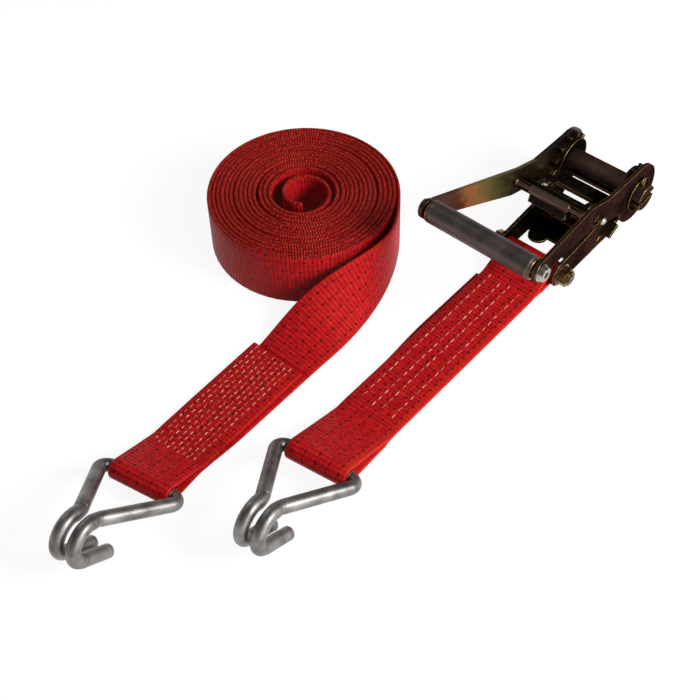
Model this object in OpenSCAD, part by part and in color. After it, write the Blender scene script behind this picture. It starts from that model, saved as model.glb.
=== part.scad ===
// Two-part ratchet lashing for 50 mm webbing: a short end with the ratchet, and a long end rolled up.
// +X runs from the hooks to the ratchet, +Z is up, and the set lies on the plane Z = 0.

/* [Webbing] */
// Width of the webbing
web_w = 50; // [48:0.5:51]
// Thickness of one layer of webbing
web_t = 2.6; // [2:0.1:2.8]
// Clearance between a webbing eye and the rod inside it
eye_gap = 0.4; // [0.3:0.05:0.6]

/* [Short end] */
// Distance from the tail bolt to the hook rod, measured along the strap
short_len = 267.5; // [220:0.5:320]
// Length of the open eye at the hook
short_hook_eye = 56.5; // [40:0.5:70]
// Length of the open eye at the tail bolt
short_bolt_eye = 32; // [26:1:45]
// Height of the hook rod above the ground
short_rod_z = 22.9; // [18:0.1:26]
// Sideways turn of the hook and its eye
short_turn = 7.9; // [0:0.1:9]

/* [Long end] */
// Distance from the hook rod to the end of the sewn overlap
long_sewn = 150; // [120:1:180]
// Length of the open eye at the hook
long_hook_eye = 41.8; // [34:0.2:60]
// Height of the hook rod above the ground
long_rod_z = 15.6; // [14:0.1:19]
// Sideways turn of the hook and its eye
long_turn = 10.4; // [0:0.1:11]
// Sideways turn of the strap
long_yaw = 0.3; // [-3:0.1:3]
// Length of flat webbing between the sewn overlap and the twist
long_flat = 32; // [20:1:50]

/* [Roll] */
// Outside radius of the roll
roll_r = 77.5; // [72:0.5:82]
// Step from one turn to the next
roll_pitch = 3.75; // [3.4:0.05:4]
// Number of turns in the roll
roll_turns = 14; // [10:1:14]
// Unevenness of the winding
roll_wave = 0.35; // [0:0.05:0.4]
// Direction of the point where the tail joins the roll, from +X
roll_entry = -49; // [-60:1:-44]

/* [Hook] */
// Diameter of the hook wire
wire_d = 10.6; // [10:0.2:11]
// Straight length of the rod that the webbing goes round
rod_len = 50; // [50:0.5:54]
// Inside bend radius at each end of the rod, on the wire's axis
rod_bend = 6.8; // [6.6:0.2:10]
// Distance from the rod to the place where the arms meet
arm_len = 62.5; // [58:0.5:66]
// Distance between the axes of the two arms where they meet
arm_gap = 13.6; // [13:0.2:15]
// Bend radius of the claw on the wire's axis
claw_r = 14.4; // [13.6:0.2:16]
// Turn of the claw, short of a half circle so that its mouth widens
claw_turn = 167; // [160:1:180]
// Length of the straight tip of the claw
tip_len = 33; // [24:1:34]
// Upward tilt of the short end's hook
short_tilt = 21.1; // [20:0.1:28]
// Upward tilt of the long end's hook
long_tilt = 28.7; // [26:0.1:34]

/* [Ratchet frame] */
// Clear width between the frame cheeks
frame_in = 52; // [51.5:0.5:54]
// Thickness of the frame cheeks
frame_t = 2.5; // [2:0.25:3]
// Height of the spindle axis above the ground
spindle_z = 37; // [36:0.5:40]
// Distance from the spindle to the tail bolt
bolt_dx = 92; // [88:1:98]
// Height of the tail bolt above the ground
bolt_z = 11; // [10:0.5:13]
// Diameter of the tail bolt
bolt_d = 10; // [8:0.5:10]
// Radius of the frame's head around the spindle
head_r = 20; // [18:0.5:21]

/* [Ratchet wheels and spindle] */
// Number of teeth on a ratchet wheel
teeth = 12; // [6:6:12]
// Radius at the tips of the teeth
tip_r = 24; // [22:0.5:24]
// Radius at the roots of the teeth
root_r = 18; // [17:0.5:19]
// Thickness of a ratchet wheel
wheel_t = 4.5; // [4:0.25:4.5]
// Radius of the split spindle
spindle_r = 11; // [10:0.5:12]
// Opening between the two halves of the spindle
spindle_slot = 5; // [4.5:0.25:6]
// Half length of the spindle
spindle_half = 45.5; // [44:0.5:48]

/* [Handle] */
// Angle between the handle and the ground
handle_raise = 17.5; // [10:0.5:25]
// Distance from the spindle to the grip's axis
handle_len = 175; // [165:1:190]
// Thickness of the handle cheeks
handle_t = 3; // [2.5:0.25:3.5]
// Radius of the handle's nose around the spindle
nose_r = 26; // [25:0.5:28]
// Distance from the spindle to the bend where the cheeks splay
splay_at = 78; // [76:1:96]
// Half width across the cheeks at the grip
grip_half = 52; // [50:0.5:56]
// Diameter of the grip tube
grip_d = 18.5; // [16:0.5:20]

/* [Pawls] */
// Thickness of the pawl plates
pawl_t = 3.4; // [3:0.1:3.6]
// Offset of each pawl's middle plane from the spindle axis
pawl_off = 6; // [5:0.5:7]
// Travel of each pawl
pawl_travel = 6; // [5:0.5:6]
// Slope of the lock pawl
lock_slope = 28; // [26:0.5:30]
// Distance from the spindle to the tip of the engaged lock pawl
lock_tip = 18; // [17.8:0.1:18.4]
// Distance from the spindle to the tip of the drive pawl on the cam crowns
drive_tip = 24.4; // [24.2:0.1:25]

/* [Layout] */
// Place of the spindle along the set
ratchet_x = 253.7; // [240:0.1:260]
// Place of the ratchet's middle plane across the set
ratchet_y = -91; // [-100:0.5:-85]
// Place of the long end's hook rod along the set
long_x = -193.3; // [-210:0.1:-180]
// Place of the long end's hook rod across the set
long_y = -11.2; // [-24:0.1:0]
// Place of the roll's axis along the set
roll_x = 73.2; // [60:0.1:90]
// Place of the roll's axis across the set
roll_y = 73.6; // [60:0.1:80]

/* [Hidden] */
$fn = 64;

// Widths across the ratchet, from the inside out
frame_half = frame_in / 2;
cheek_out = frame_half + frame_t;
wheel_in = cheek_out + 0.4;
wheel_out = wheel_in + wheel_t;
handle_in = wheel_out + 0.4;
handle_out = handle_in + handle_t;
washer_t = 1.6;
pin_d = 3.2;

// Turn that carries the handle's parts from lying flat to their raised place
module raised() {
    translate([0, 0, spindle_z]) rotate([0, handle_raise, 0]) children();
}

// Turn that carries the lock pawl's parts onto their slope, with X pointing away from the spindle
module sloped() {
    translate([0, 0, spindle_z]) rotate([0, -lock_slope, 0]) children();
}

module in_ratchet() {
    translate([ratchet_x, ratchet_y, 0]) children();
}

// Plate of a thickness standing at a distance from the middle plane, from an outline in X and Z
module side_plate(y, t) {
    translate([0, y + t, 0]) rotate([90, 0, 0]) linear_extrude(height = t) children();
}

module cross_rod(r, half, x = 0, z = 0) {
    translate([x, -half, z]) rotate([-90, 0, 0]) cylinder(r = r, h = 2 * half);
}

// Point where the line from p meets a circle a hair inside its tangent, on the upper or the lower side
function tangent(p, c, r, side) =
    let (d = norm(p - c), a = atan2(p[1] - c[1], p[0] - c[0]), q = r - 0.1, b = acos(q / d))
    [c[0] + q * cos(a + side * b), c[1] + q * sin(a + side * b)];

// Hollow of a webbing eye round c, closing toward the doubled strap at x = at
module eye_hollow(c, at, r) {
    dir = at > c[0] ? 1 : -1;
    p = [at, web_t] + 7 * (c - [at, web_t]) / norm(c - [at, web_t]);
    translate(c) circle(r = r);
    polygon([p, tangent(p, c, r, -dir), c, tangent(p, c, r, dir)]);
}

// Frame
inset = 0.2;
function polar(r, a) = [r * cos(a), r * sin(a)];

module lock_slot() {
    translate([0, spindle_z]) rotate(lock_slope)
        translate([-lock_tip - 24 - pawl_travel - 0.5, -pawl_off - pawl_t / 2 - 0.3])
            square([13 + pawl_travel + 1.5, pawl_t + 0.6]);
}

module frame_outline() {
    difference() {
        union() {
            translate([0, spindle_z]) circle(r = head_r);
            translate([-bolt_dx, bolt_z]) circle(r = bolt_z);
            polygon([
                [-bolt_dx, inset], [-bolt_dx + 9, 0], [-16, 0], [0, spindle_z] + polar(head_r - inset, -35),
                [0, spindle_z], [0, spindle_z] + polar(head_r - inset, -154), [-bolt_dx, 2 * bolt_z - inset],
            ]);
        }
        lock_slot();
        translate([floor_tab[0] - 0.1, -1])
            square([floor_tab[1] - floor_tab[0] + 0.2, floor_z + floor_t + 1.1]);
    }
}

module frame_cheek(y) {
    difference() {
        side_plate(y, frame_t) frame_outline();
        cross_rod(spindle_r + 0.05, 60, 0, spindle_z);
        cross_rod(bolt_d / 2 + 0.05, 60, -bolt_dx, bolt_z);
    }
}

module frame_cheek_left() { color("#4a4030") in_ratchet() frame_cheek(frame_half); }
module frame_cheek_right() { color("#4a4030") in_ratchet() frame_cheek(-cheek_out); }

// Floor plate between the cheeks, with two round tongues and the two lugs that the lock springs push from
floor_z = 0.2;
floor_t = 2.2;
floor_front = -27;
floor_back = -58;
floor_tab = [-46, -32];
tongue_w = 17;
tongue_y = 15.5;
tongue_len = 1;
lug_at = lock_tip + 27.5;
lug_y = 14;
lug_w = 6;

module floor_lug(y) {
    difference() {
        sloped() translate([-lug_at - 2.5, y - lug_w / 2, -pawl_off - 12])
            cube([2.5, lug_w, 16]);
        translate([-120, -60, -40]) cube([160, 120, 40 + floor_z]);
    }
}

module frame_floor() {
    color("#5a4c30") in_ratchet() {
        translate([floor_back, -frame_half, floor_z]) cube([floor_front - floor_back, frame_in, floor_t]);
        for (y = [-tongue_y, tongue_y]) translate([floor_back - tongue_len, y, floor_z]) {
            translate([0, -tongue_w / 2 + 0.1, 0]) cube([tongue_len + 2, tongue_w - 0.2, floor_t]);
            cylinder(d = tongue_w, h = floor_t);
        }
        translate([floor_tab[0], -cheek_out, floor_z])
            cube([floor_tab[1] - floor_tab[0], 2 * cheek_out, floor_t]);
        for (y = [-lug_y, lug_y]) floor_lug(y);
    }
}

module tail_bolt() {
    color("#8a7a4c") in_ratchet() translate([-bolt_dx, 0, bolt_z]) {
        cross_rod(bolt_d / 2, cheek_out + 1.5);
        translate([0, -cheek_out - 10.5, 0]) rotate([-90, 0, 0]) cylinder(d = 8, h = 12);
        translate([0, cheek_out + 1.5, 0]) rotate([-90, 30, 0]) cylinder(d = 17, h = 5.5, $fn = 6);
    }
}

module tail_nut() {
    color("#9a8a58") in_ratchet() translate([-bolt_dx, -cheek_out - 1.5, bolt_z]) difference() {
        union() {
            rotate([90, 0, 0]) cylinder(d = 17, h = 6, $fn = 6);
            rotate([90, 0, 0]) cylinder(d = 12.5, h = 8);
        }
        rotate([90, 0, 0]) translate([0, 0, -1]) cylinder(d = 8.06, h = 20);
    }
}

module tail_washers() {
    color("#a09468") in_ratchet() for (y = [-cheek_out - 1.5, cheek_out]) difference() {
        translate([-bolt_dx, y, bolt_z]) rotate([-90, 0, 0]) cylinder(d = 19, h = 1.5);
        cross_rod(bolt_d / 2 + 0.05, 60, -bolt_dx, bolt_z);
    }
}

// Lock pawl
module pawl_bar(u0, u1, y0, y1, v = 0, t = pawl_t) {
    translate([-u1, y0, -pawl_off - t / 2 + v]) cube([u1 - u0, y1 - y0, t]);
}

module both_sides() {
    children();
    mirror([0, 1, 0]) children();
}

lock_window = [lock_tip + 14, lock_tip + 31];
window_half = 4;

module lock_pawl() {
    inner = frame_half - 0.4;
    color("#6a5530") in_ratchet() sloped() difference() {
        union() {
            pawl_bar(lock_tip + 10.5, lock_tip + 34, -inner, inner);
            both_sides() {
                pawl_bar(lock_tip + 11, lock_tip + 24, inner - 1, handle_out);
                pawl_bar(lock_tip, lock_tip + 12, wheel_in - 0.2, wheel_out - 0.1);
            }
            pawl_bar(lock_tip + 31.6, lock_tip + 34, -12, 12, 6.5, 13);
        }
        both_sides()
            pawl_bar(lock_window[0], lock_window[1], lug_y - window_half, lug_y + window_half, 0, 20);
        pawl_bar(lock_tip + 9, lock_tip + 14.5, -9, 9, 0, 20);
        translate([-lock_tip - 32, 0, pawl_off + 1]) rotate([0, 90, 0])
            cylinder(d = 3, h = 12, center = true);
    }
}

// Coil spring along -X from x0 to x1, as one tube
spring_r = 2.5;
spring_wire = 0.5;
spring_turns = 6;

function ring_faces(n, m) = concat(
    [for (i = [0:n - 2], j = [0:m - 1]) each [
        [i * m + j, (i + 1) * m + j, i * m + (j + 1) % m],
        [i * m + (j + 1) % m, (i + 1) * m + j, (i + 1) * m + (j + 1) % m],
    ]],
    [for (j = [1:m - 2]) [0, j, j + 1]],
    [for (j = [1:m - 2]) [(n - 1) * m, (n - 1) * m + j + 1, (n - 1) * m + j]]
);

module spring(u0, u1, y) {
    n = spring_turns * 8 + 1;
    run = u1 - u0 - 2 * spring_wire;
    points = [for (i = [0:n - 1], j = [0:5])
        let (a = i * 45, b = -j * 60, r = spring_r + spring_wire * cos(b))
        [
            -u0 - spring_wire - run * i / (n - 1) + spring_wire * sin(b),
            y + r * cos(a),
            -pawl_off + r * sin(a),
        ]];
    polyhedron(points = points, faces = ring_faces(n, 6), convexity = 10);
}

lock_spring_run = [lock_window[0] + 0.3, lug_at - 0.3];
module lock_spring(y) {
    color("#b8b0a0") in_ratchet() sloped() spring(lock_spring_run[0], lock_spring_run[1], y);
}
module lock_spring_left() { lock_spring(lug_y); }
module lock_spring_right() { lock_spring(-lug_y); }

// Handle
arm_half = 12;
grip_end_r = 8.4;
splay_angle = atan((grip_half - handle_t - handle_in) / (handle_len - splay_at));
slot_at = [50, 62];
bridge_u = [61, 69];

module handle_side() {
    circle(r = nose_r);
    translate([-handle_len, 0]) circle(r = grip_end_r);
    polygon([
        [0, 0], polar(nose_r - 0.3, 112), [-52, arm_half], [-splay_at, arm_half],
        [-handle_len, grip_end_r - 0.3], [-handle_len, -grip_end_r + 0.3],
        [-splay_at, -arm_half], [-5, -arm_half],
    ]);
}

// Plan of a cheek with its inside face at handle_in, splayed beyond the bend
module handle_plan() {
    end = handle_len + 20;
    rise = (end - splay_at) * tan(splay_angle);
    polygon([
        [nose_r + 4, handle_in], [-splay_at, handle_in], [-end, handle_in + rise],
        [-end, handle_in + rise + handle_t / cos(splay_angle)],
        [-splay_at + handle_t * tan(splay_angle / 2), handle_out], [nose_r + 4, handle_out],
    ]);
}

module handle_cheek() {
    difference() {
        intersection() {
            translate([0, 0, -40]) linear_extrude(height = 80) handle_plan();
            side_plate(20, 60) handle_side();
        }
        cross_rod(spindle_r + 0.05, 60);
        cross_rod(4.05, 80, -handle_len, 0);
        translate([-slot_at[1] - pawl_travel - 0.5, 0, -pawl_off - pawl_t / 2 - 0.3])
            cube([slot_at[1] - slot_at[0] + pawl_travel + 1, 60, pawl_t + 0.6]);
        translate([-bridge_u[0] - 6.1, 0, bridge_v - 0.1]) cube([4.2, 60, bridge_t + 0.2]);
    }
}

module handle_cheek_left() { color("#3a2f22") in_ratchet() raised() handle_cheek(); }
module handle_cheek_right() { color("#3a2f22") in_ratchet() raised() mirror([0, 1, 0]) handle_cheek(); }

// Bridge bar that ties the handle cheeks above the drive pawl, with two lugs down to the springs
bridge_v = -pawl_off + pawl_t / 2 + 0.5;
bridge_t = 4;
drive_lug_y = 22.5;
module handle_bridge() {
    color("#5a4c30") in_ratchet() raised() {
        translate([-bridge_u[1], -handle_in, bridge_v])
            cube([bridge_u[1] - bridge_u[0], 2 * handle_in, bridge_t]);
        translate([-bridge_u[0] - 6, -handle_out, bridge_v]) cube([4, 2 * handle_out, bridge_t]);
        for (y = [-drive_lug_y, drive_lug_y])
            translate([-bridge_u[0] - 3, y - 2.5, bridge_v - pawl_t - 3]) cube([3, 5, pawl_t + 4]);
    }
}

grip_in = grip_half - handle_t - 1.2;
module grip_tube() {
    color("#2b241c") in_ratchet() raised() difference() {
        union() {
            cross_rod(grip_d / 2, grip_in - 2, -handle_len, 0);
            cross_rod(grip_d / 2 - 2, grip_in, -handle_len, 0);
        }
        cross_rod(4.05, 80, -handle_len, 0);
        translate([-handle_len - 0.8, -grip_in + 6, grip_d / 2 - 0.7]) cube([1.6, 2 * grip_in - 12, 2]);
    }
}

module grip_bolt() {
    color("#9a9384") in_ratchet() raised() translate([-handle_len, 0, 0]) {
        cross_rod(4, grip_half + 1);
        translate([0, -grip_half - 5.5, 0]) rotate([-90, 0, 0]) difference() {
            cylinder(d1 = 11, d2 = 14, h = 4.5);
            translate([0, 0, -1]) cylinder(d = 5.5, h = 3.5, $fn = 6);
        }
        translate([0, grip_half, 0]) rotate([-90, 0, 0]) cylinder(d = 7.6, h = 3.2);
    }
}

module grip_nut() {
    color("#9a9384") in_ratchet() raised() translate([-handle_len, grip_half + 1.05, 0]) rotate([-90, 0, 0])
        difference() {
            cylinder(d = 13, h = 2);
            translate([0, 0, -1]) cylinder(d = 7.66, h = 8);
        }
}

// Drive pawl with its finger bar, sliding between the handle cheeks
finger_u = 80;
finger_rise = 8.5;
finger_half = 17.5;
drive_front = 17;
drive_front_half = 24;
drive_window = [drive_tip + 18, 66.5];
module drive_pawl() {
    inner = handle_in - 0.4;
    color("#54452c") in_ratchet() raised() difference() {
        union() {
            pawl_bar(drive_tip + 6.5, 70, -inner, inner);
            pawl_bar(drive_front, drive_tip + 8, -drive_front_half, drive_front_half);
            pawl_bar(68, finger_u, -finger_half, finger_half);
            both_sides() {
                pawl_bar(drive_tip, drive_tip + 8, wheel_in + 0.1, wheel_out);
                pawl_bar(slot_at[0], slot_at[1], inner - 1, handle_out + 1.2);
            }
            translate([-finger_u, 0, -pawl_off + finger_rise]) {
                cross_rod(3.2, finger_half + 0.6);
                cross_rod(1.6, inner - 1);
            }
            pawl_bar(finger_u - 1.4, finger_u + 1.4, -finger_half + 0.5, finger_half - 0.5,
                finger_rise / 2, finger_rise + pawl_t);
        }
        both_sides() pawl_bar(drive_window[0], drive_window[1], drive_lug_y - 4, drive_lug_y + 4, 0, 14);
        pawl_bar(drive_tip + 12, drive_tip + 24.5, -16.8, 16.8, 0, 20);
        pawl_bar(drive_tip + 32, finger_u - 6, -14, 14, 0, 20);
    }
}

drive_spring_run = [drive_window[0] + 0.3, bridge_u[0] - 0.3];
module drive_spring(y) {
    color("#b8b0a0") in_ratchet() raised() spring(drive_spring_run[0], drive_spring_run[1], y);
}
module drive_spring_left() { drive_spring(drive_lug_y); }
module drive_spring_right() { drive_spring(-drive_lug_y); }

// Spindle and ratchet wheels
module half_round(r, gap) {
    difference() {
        circle(r = r);
        translate([-2 * r, -3 * r + gap / 2]) square([4 * r, 3 * r]);
    }
}

module spindle_half_at(side) {
    in_ratchet() translate([0, 0, spindle_z]) difference() {
        mirror([0, 0, side < 0 ? 1 : 0]) side_plate(-spindle_half, 2 * spindle_half)
            half_round(spindle_r, spindle_slot);
        for (y = [-1, 1]) translate([0, y * (handle_out + washer_t + pin_d / 2 + 0.3), 0])
            cylinder(d = pin_d + 0.1, h = 60, center = true);
    }
}

module spindle_half_upper() { color("#6b5a38") spindle_half_at(1); }
module spindle_half_lower() { color("#6b5a38") spindle_half_at(-1); }

// One tooth from its root round to the next, with the steep face that the pawls bear on
face_off = pawl_off - pawl_t / 2 - 0.4;
tooth_step = 360 / teeth;
tip_angle = 180 + lock_slope + asin(face_off / tip_r);
root_angle = 180 + lock_slope + asin(face_off / root_r);
tip_land = 4;
back_angle = root_angle + (tip_angle - tip_land + tooth_step - root_angle) * 0.57;

module wheel_outline() {
    polygon([for (i = [0:teeth - 1]) each [
        polar(root_r, root_angle + i * tooth_step),
        polar(root_r + 0.6, back_angle + i * tooth_step),
        polar(tip_r, tip_angle - tip_land + (i + 1) * tooth_step),
        polar(tip_r, tip_angle + (i + 1) * tooth_step),
    ]]);
}

module ratchet_wheel(y) {
    in_ratchet() translate([0, 0, spindle_z]) side_plate(y, wheel_t) difference() {
        wheel_outline();
        half_round(spindle_r + 0.05, spindle_slot - 0.1);
        mirror([0, 1]) half_round(spindle_r + 0.05, spindle_slot - 0.1);
    }
}

module ratchet_wheel_left() { color("#7d6a3c") ratchet_wheel(wheel_in); }
module ratchet_wheel_right() { color("#7d6a3c") ratchet_wheel(-wheel_out); }

module spindle_washers() {
    places = [handle_out + 0.1, -handle_out - washer_t - 0.1];
    color("#8c7d52") in_ratchet() translate([0, 0, spindle_z]) for (y = places)
        difference() {
            translate([0, y, 0]) rotate([-90, 0, 0]) cylinder(r = spindle_r + 4, h = washer_t);
            cross_rod(spindle_r + 0.05, 60);
        }
}

module split_pins() {
    color("#c9c2b0") in_ratchet() translate([0, 0, spindle_z])
        for (y = [-1, 1]) translate([0, y * (handle_out + washer_t + pin_d / 2 + 0.3), 0]) {
            translate([0, 0, -spindle_r - 5]) cylinder(d = pin_d, h = 2 * spindle_r + 7);
            translate([0, 0, spindle_r + 4]) rotate([90, 0, 0]) rotate_extrude(angle = 360)
                translate([2.6, 0]) circle(d = 1.5, $fn = 16);
        }
}

// Short end
rod_r = wire_d / 2;
hook_eye_in = rod_r + eye_gap;
hook_eye_out = hook_eye_in + web_t;
bolt_eye_in = bolt_d / 2 + eye_gap;
bolt_eye_out = bolt_eye_in + web_t;

// Eye at a hook, with the rod above the origin, closing toward the strap at x = len
eye_root = 5;
root_inset = 0.05;

module hook_eye_profile(len, rod_z) {
    rod_c = [0, rod_z];
    low = [len, root_inset];
    high = [len, 2 * web_t - root_inset];
    difference() {
        union() {
            translate(rod_c) circle(r = hook_eye_out);
            polygon([
                low, low + [eye_root, 0], high + [eye_root, 0], high,
                tangent(high, rod_c, hook_eye_out, 1), rod_c, tangent(low, rod_c, hook_eye_out, -1),
            ]);
        }
        eye_hollow(rod_c, len, hook_eye_in);
    }
}

module across_web() {
    translate([0, web_w / 2, 0]) rotate([90, 0, 0]) linear_extrude(height = web_w) children();
}

// Doubled strap with the eye at the tail bolt
module bolt_profile(len) {
    bolt_c = [0, bolt_z];
    from = -short_bolt_eye;
    difference() {
        union() {
            translate(bolt_c) circle(r = bolt_eye_out);
            polygon([
                bolt_c, tangent([from, 0], bolt_c, bolt_eye_out, 1), [from, 0], [-len, 0],
                [-len, 2 * web_t], [from, 2 * web_t], tangent([from, 2 * web_t], bolt_c, bolt_eye_out, -1),
            ]);
        }
        eye_hollow(bolt_c, from, bolt_eye_in);
    }
}

short_plain = short_len - short_hook_eye;

module at_bolt() {
    in_ratchet() translate([-bolt_dx, 0, 0]) children();
}

module at_short_rod() {
    at_bolt() translate([-short_plain, 0, 0]) rotate([0, 0, short_turn])
        translate([-short_hook_eye, 0, 0]) children();
}

module short_webbing() {
    color("#b5161c") {
        at_bolt() across_web() bolt_profile(short_plain);
        at_short_rod() across_web() hook_eye_profile(short_hook_eye, short_rod_z);
    }
}

// Hook of one bent wire, with its rod on the Y axis and its claw toward -X
arm_turn = 90 + atan((rod_len / 2 + rod_bend * 1.6 - arm_gap / 2) / arm_len);
rod_corner = rod_len / 2 + rod_bend * tan(arm_turn / 2);
arm_slope = arm_turn - 90;
meet_bend = 15;
meet_x = (rod_corner - arm_gap / 2) / tan(arm_slope);
claw_lead = 3;
claw_x = meet_x + meet_bend * tan(arm_slope / 2) + claw_lead;

// Bends are a hair thinner than the straight runs, which reach a little way over them
bend_thin = 0.2;
lap = 0.4;

module wire_arc(r, a) {
    rotate_extrude(angle = a) translate([r, 0]) circle(r = rod_r - bend_thin, $fn = 32);
}

module wire_run(len) {
    translate([0, -lap, 0]) rotate([-90, 0, 0]) cylinder(r = rod_r, h = len + 2 * lap, $fn = 32);
}

module hook_half() {
    arm_run = norm([meet_x, rod_corner - arm_gap / 2]) - rod_bend * tan(arm_turn / 2)
        - meet_bend * tan(arm_slope / 2);
    translate([-rod_bend, rod_len / 2, 0]) {
        wire_arc(rod_bend, arm_turn);
        rotate([0, 0, arm_turn]) translate([rod_bend, 0, 0]) {
            wire_run(arm_run);
            translate([meet_bend, arm_run, 0]) rotate([0, 0, 180 - arm_slope]) wire_arc(meet_bend, arm_slope);
        }
    }
    translate([-claw_x, arm_gap / 2, 0]) {
        rotate([0, 0, -90]) wire_run(claw_lead);
        translate([0, 0, -claw_r]) rotate([90, 0, 0]) rotate([0, 0, 90]) wire_arc(claw_r, claw_turn);
        translate([-claw_r * sin(claw_turn), 0, claw_r * (cos(claw_turn) - 1)])
            rotate([0, 180 - claw_turn, 0]) rotate([0, 0, -90]) {
                wire_run(tip_len - 1.5 - lap);
                translate([0, tip_len - 1.5, 0]) rotate([-90, 0, 0])
                    cylinder(r1 = rod_r, r2 = rod_r - 1.5, h = 1.5, $fn = 32);
            }
    }
}

module hook() {
    cross_rod(rod_r, rod_len / 2 + lap);
    hook_half();
    mirror([0, 1, 0]) hook_half();
}

module short_hook() {
    color("#8d8a84") at_short_rod() translate([0, 0, short_rod_z]) rotate([0, short_tilt, 0]) hook();
}

// Long end
long_plain = long_sewn - long_hook_eye;
long_bend = [long_x, long_y] + rot2([long_hook_eye, 0], long_turn);

module at_long_rod() {
    translate([long_x, long_y, 0]) rotate([0, 0, long_turn]) children();
}

module long_webbing_eye() {
    color("#b5161c") {
        at_long_rod() across_web() hook_eye_profile(long_hook_eye, long_rod_z);
        translate([long_bend[0], long_bend[1], 0]) rotate([0, 0, long_yaw]) translate([0, -web_w / 2, 0])
            cube([long_plain, web_w, 2 * web_t]);
    }
}

module long_hook() {
    color("#8d8a84") at_long_rod() translate([0, 0, long_rod_z]) rotate([0, long_tilt, 0]) hook();
}

// Tail: its near edge stays on the ground while its far edge lifts, until the band stands on edge at the roll
tail_steps = 36;
heading_0 = long_yaw;
heading_1 = roll_entry + 90;
tail_0 = long_bend + rot2([long_plain, -web_w / 2], long_yaw);
tail_flat = tail_0 + rot2([long_flat, 0], long_yaw);
tail_1 = [roll_x, roll_y] + polar(roll_radius(0) - web_t / 2, roll_entry);

function rot2(p, a) = [p[0] * cos(a) - p[1] * sin(a), p[0] * sin(a) + p[1] * cos(a)];
function smooth(t) = t * t * (3 - 2 * t);
function hermite(p0, m0, p1, m1, t) =
    (2 * pow(t, 3) - 3 * pow(t, 2) + 1) * p0 + (pow(t, 3) - 2 * pow(t, 2) + t) * m0
    + (3 * pow(t, 2) - 2 * pow(t, 3)) * p1 + (pow(t, 3) - pow(t, 2)) * m1;

tail_pull = norm(tail_1 - tail_flat);
tail_start = -long_flat / tail_pull;
twist_start = -0.2;
twist_run = 0.95;
function tail_edge(t) = t < 0 ? tail_flat + t * tail_pull * polar(1, heading_0)
    : hermite(tail_flat, tail_pull * polar(1, heading_0), tail_1, tail_pull * polar(1, heading_1), t);
function tail_heading(t) =
    let (d = tail_edge(min(1, t + 0.01)) - tail_edge(t - 0.01)) atan2(d[1], d[0]);
function tail_roll(t) = 90 * smooth(min(1, max(0, (t - twist_start) / twist_run)));

// Section of the band from its near edge, at a heading and a roll about that edge
function band(p, heading, roll) =
    let (
        left = polar(1, heading + 90),
        across = [left[0] * cos(roll), left[1] * cos(roll), sin(roll)],
        up = [-left[0] * sin(roll), -left[1] * sin(roll), cos(roll)],
        base = [p[0], p[1], 0]
    )
    [base, base + web_w * across, base + web_w * across + web_t * up, base + web_t * up];

module long_webbing_tail() {
    sections = [for (i = [0:tail_steps])
        let (t = tail_start + (1 - tail_start) * i / tail_steps)
        band(tail_edge(t), t < 1 ? tail_heading(t) : heading_1, tail_roll(t))];
    color("#b5161c")
        polyhedron(points = [for (s = sections) each s], faces = band_faces(len(sections)), convexity = 6);
}

function band_faces(n) = concat(
    [for (i = [0:n - 2], j = [0:3]) each [
        [i * 4 + j, i * 4 + (j + 1) % 4, (i + 1) * 4 + j],
        [i * 4 + (j + 1) % 4, (i + 1) * 4 + (j + 1) % 4, (i + 1) * 4 + j],
    ]],
    [[0, 2, 1], [0, 3, 2]],
    [[(n - 1) * 4, (n - 1) * 4 + 1, (n - 1) * 4 + 2], [(n - 1) * 4, (n - 1) * 4 + 2, (n - 1) * 4 + 3]]
);

// Roll: one band wound inward on edge, with a slow unevenness that never closes the gap between turns
roll_steps = 30;
function roll_radius(turn) =
    roll_r - web_t / 2 - roll_pitch * turn
    + roll_wave * sin(360 * turn * 2.15 + 40) * min(1, turn) * 0.5;

module long_webbing_roll() {
    n = roll_turns * roll_steps + 1;
    sections = [for (i = [0:n - 1])
        let (turn = i / roll_steps, a = roll_entry + 360 * turn, r = roll_radius(turn))
        [for (c = [[1, 0], [1, 1], [-1, 1], [-1, 0]])
            let (p = [roll_x, roll_y] + polar(r - c[0] * web_t / 2, a)) [p[0], p[1], c[1] * web_w]]];
    color("#b5161c") polyhedron(points = [for (s = sections) each s], faces = band_faces(n), convexity = 30);
}

// Least gaps of the wound forms to themselves
roll_gaps = [for (i = [0:(roll_turns - 1) * roll_steps])
    roll_radius(i / roll_steps) - roll_radius(i / roll_steps + 1) - web_t];
echo(least_gap_in_roll = min(roll_gaps) * cos(180 / roll_steps));
echo(length_of_roll = sum_list([for (i = [0:roll_turns * roll_steps - 1])
    2 * PI * roll_radius((i + 0.5) / roll_steps) / roll_steps]));
function spring_gap(run) = (run[1] - run[0] - 2 * spring_wire) / spring_turns - 2 * spring_wire;
echo(least_gap_in_lock_spring = spring_gap(lock_spring_run));
echo(least_gap_in_drive_spring = spring_gap(drive_spring_run));
function sum_list(l, i = 0) = i == len(l) ? 0 : l[i] + sum_list(l, i + 1);

frame_cheek_left();
frame_cheek_right();
frame_floor();
tail_bolt();
tail_nut();
tail_washers();
lock_pawl();
lock_spring_left();
lock_spring_right();
handle_cheek_left();
handle_cheek_right();
handle_bridge();
grip_tube();
grip_bolt();
grip_nut();
drive_pawl();
drive_spring_left();
drive_spring_right();
spindle_half_upper();
spindle_half_lower();
ratchet_wheel_left();
ratchet_wheel_right();
spindle_washers();
split_pins();
short_webbing();
short_hook();
long_webbing_eye();
long_webbing_tail();
long_webbing_roll();
long_hook();
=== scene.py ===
import math

import bpy
import numpy as np
from mathutils import Matrix, Vector


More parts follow.
